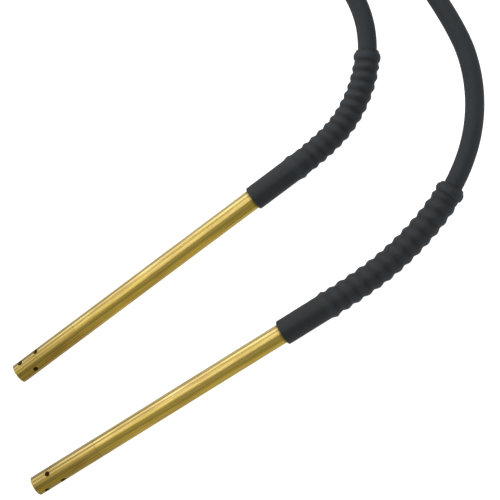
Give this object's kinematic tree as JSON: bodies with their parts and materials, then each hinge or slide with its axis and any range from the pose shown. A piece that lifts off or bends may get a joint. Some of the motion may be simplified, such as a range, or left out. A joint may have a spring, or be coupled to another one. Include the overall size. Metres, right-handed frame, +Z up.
{
  "type": "concrete vibrator",
  "caption": "Flexible-shaft concrete vibrator: slim brass poker heads with ribbed rubber bend boots and black hoses joined at one drive flange.",
  "frame": {"origin": "on the ground under the middle of the box round the two heads with their boots; the hoses and what is on them don't count", "axes": "+X along the heads, from the tips towards the boots; +Z up from the ground they lie on; +Y towards the side that the hoses bend to"},
  "size_m": [1.1034, 0.5619, 0.044],
  "materials": {
    "brass": "drawn and lightly polished",
    "bronze": "machined bronze",
    "bearing_steel": "ground",
    "steel": "turned",
    "spring_steel": "oiled spring steel",
    "zinc_steel": "zinc plated",
    "aluminium": "cast, machined faces",
    "black_screw": "black oxide",
    "nitrile": "smooth",
    "boot_rubber": "moulded, matte",
    "hose_rubber": "wrapped and cured, matte"
  },
  "bodies": {
    "vibrator": {"nose_piece_a": "brass", "nose_seal_ring_a": "nitrile", "head_tube_a": "brass", "front_bearing_outer_a": "bearing_steel", "rear_bearing_outer_a": "bearing_steel", "shaft_seal_a": "nitrile", "seal_spacer_a": "steel", "rear_adapter_a": "steel", "adapter_seal_ring_a": "nitrile", "head_ferrule_a": "zinc_steel", "drive_ferrule_a": "zinc_steel", "hose_nipple_a": "zinc_steel", "drive_bush_a": "bronze", "hose_cover_a": "hose_rubber", "hose_liner_a": "spring_steel", "flexible_core_a": "spring_steel", "bend_boot_a": "boot_rubber", "nose_piece_b": "brass", "nose_seal_ring_b": "nitrile", "head_tube_b": "brass", "front_bearing_outer_b": "bearing_steel", "rear_bearing_outer_b": "bearing_steel", "shaft_seal_b": "nitrile", "seal_spacer_b": "steel", "rear_adapter_b": "steel", "adapter_seal_ring_b": "nitrile", "head_ferrule_b": "zinc_steel", "drive_ferrule_b": "zinc_steel", "hose_nipple_b": "zinc_steel", "drive_bush_b": "bronze", "hose_cover_b": "hose_rubber", "hose_liner_b": "spring_steel", "flexible_core_b": "spring_steel", "bend_boot_b": "boot_rubber", "flange_plate": "aluminium", "lock_screws": "black_screw"},
    "rotor_a": {"front_bearing_inner_a": "bearing_steel", "rear_bearing_inner_a": "bearing_steel", "eccentric_rotor_a": "steel", "rotor_circlips_a": "spring_steel", "core_end_socket_a": "steel"},
    "cages_a": {"bearing_balls_a": "bearing_steel", "bearing_cages_a": "bronze"},
    "spigot_a": {"drive_spigot_a": "steel", "spigot_circlip_a": "spring_steel"},
    "rotor_b": {"front_bearing_inner_b": "bearing_steel", "rear_bearing_inner_b": "bearing_steel", "eccentric_rotor_b": "steel", "rotor_circlips_b": "spring_steel", "core_end_socket_b": "steel"},
    "cages_b": {"bearing_balls_b": "bearing_steel", "bearing_cages_b": "bronze"},
    "spigot_b": {"drive_spigot_b": "steel", "spigot_circlip_b": "spring_steel"}
  },
  "joints": [
    {"name": "rotor_spin_a", "type": "hinge", "parent": "vibrator", "child": "rotor_a", "pos_m": [-0.03408, 0.04321, 0.01461], "axis": [0.9992, 0.0384, 0.0091], "continuous": true},
    {"name": "cage_spin_a", "type": "hinge", "parent": "vibrator", "child": "cages_a", "pos_m": [-0.03408, 0.04321, 0.01461], "axis": [0.9992, 0.0384, 0.0091], "continuous": true},
    {"name": "spigot_spin_a", "type": "hinge", "parent": "vibrator", "child": "spigot_a", "pos_m": [0.7455, 0.1102, 0.022], "axis": [0, -1, 0], "continuous": true},
    {"name": "rotor_spin_b", "type": "hinge", "parent": "vibrator", "child": "rotor_b", "pos_m": [-0.09058, -0.10161, 0.01461], "axis": [0.9992, -0.0384, 0.0091], "continuous": true},
    {"name": "cage_spin_b", "type": "hinge", "parent": "vibrator", "child": "cages_b", "pos_m": [-0.09058, -0.10161, 0.01461], "axis": [0.9992, -0.0384, 0.0091], "continuous": true},
    {"name": "spigot_spin_b", "type": "hinge", "parent": "vibrator", "child": "spigot_b", "pos_m": [0.6855, 0.1102, 0.022], "axis": [0, -1, 0], "continuous": true}
  ],
  "couplings": [
    {"joint": "cage_spin_a", "follows": "rotor_spin_a", "ratio": 0.39},
    {"joint": "spigot_spin_a", "follows": "rotor_spin_a", "ratio": 1},
    {"joint": "cage_spin_b", "follows": "rotor_spin_b", "ratio": 0.39},
    {"joint": "spigot_spin_b", "follows": "rotor_spin_b", "ratio": 1}
  ]
}
